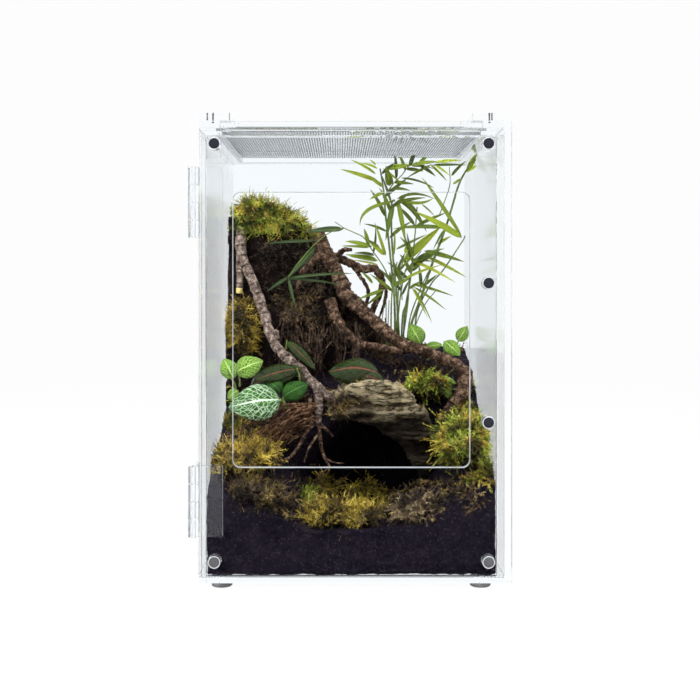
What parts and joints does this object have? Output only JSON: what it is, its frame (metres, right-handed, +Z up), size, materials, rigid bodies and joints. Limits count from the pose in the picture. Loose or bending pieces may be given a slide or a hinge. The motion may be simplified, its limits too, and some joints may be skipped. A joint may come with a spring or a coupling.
{
  "type": "reptile terrarium",
  "caption": "Clear upright terrarium with a hinged magnetic front door, a mesh vent under a sliding cover, and a planted landscape of soil, bark, roots, moss and leaves.",
  "frame": {"origin": "middle of the whole object's plan at the floor under its feet", "axes": "+Z up, +X towards the door's free edge, -Y towards the front door, +Y towards the rear wall"},
  "size_m": [0.2105, 0.2112, 0.313],
  "materials": {
    "acrylic": "polished",
    "mesh_metal": "satin",
    "pin_metal": "satin",
    "foot_rubber": "matte",
    "magnet": "satin",
    "soil": "matte",
    "peat": "matte",
    "bark": "matte",
    "branch_wood": "matte",
    "root_wood": "matte",
    "moss": "matte",
    "palm_leaf": "satin",
    "white_veined_leaf": "satin",
    "red_veined_leaf": "satin",
    "green_leaf": "satin"
  },
  "bodies": {
    "root": {"base_panel": "acrylic", "left_wall": "acrylic", "right_wall": "acrylic", "back_wall": "acrylic", "front_frame": "acrylic", "top_frame": "acrylic", "left_rail_spacer": "acrylic", "right_rail_spacer": "acrylic", "left_rail_cap": "acrylic", "right_rail_cap": "acrylic", "upper_hinge_case_leaf": "acrylic", "lower_hinge_case_leaf": "acrylic", "upper_hinge_pin": "acrylic", "lower_hinge_pin": "acrylic", "mesh_screen": "mesh_metal", "rail_pins": "pin_metal", "feet": "foot_rubber", "frame_magnets": "magnet", "substrate": "soil", "peat_mound": "peat", "cork_bark_hide": "bark", "left_branch": "branch_wood", "right_root": "root_wood", "upper_root": "root_wood", "root_tangle": "root_wood", "mound_moss": "moss", "left_moss": "moss", "lower_left_moss": "moss", "right_moss": "moss", "centre_moss": "moss", "front_left_moss": "moss", "front_middle_moss": "moss", "front_right_moss": "moss", "parlour_palm": "palm_leaf", "white_fittonia": "white_veined_leaf", "red_fittonia": "red_veined_leaf", "green_fittonia": "green_leaf"},
    "door": {"door_panel": "acrylic", "door_magnets": "magnet", "upper_hinge_door_leaf": "acrylic", "lower_hinge_door_leaf": "acrylic"},
    "cover": {"top_cover": "acrylic"}
  },
  "joints": [
    {"name": "door_hinge", "type": "hinge", "parent": "root", "child": "door", "pos_m": [-0.10175, -0.1021, 0.157], "axis": [0, 0, -1], "range_deg": [0, 270]},
    {"name": "cover_slide", "type": "slide", "parent": "root", "child": "cover", "axis": [0, 1, 0], "range_m": [0, 0.19]}
  ]
}
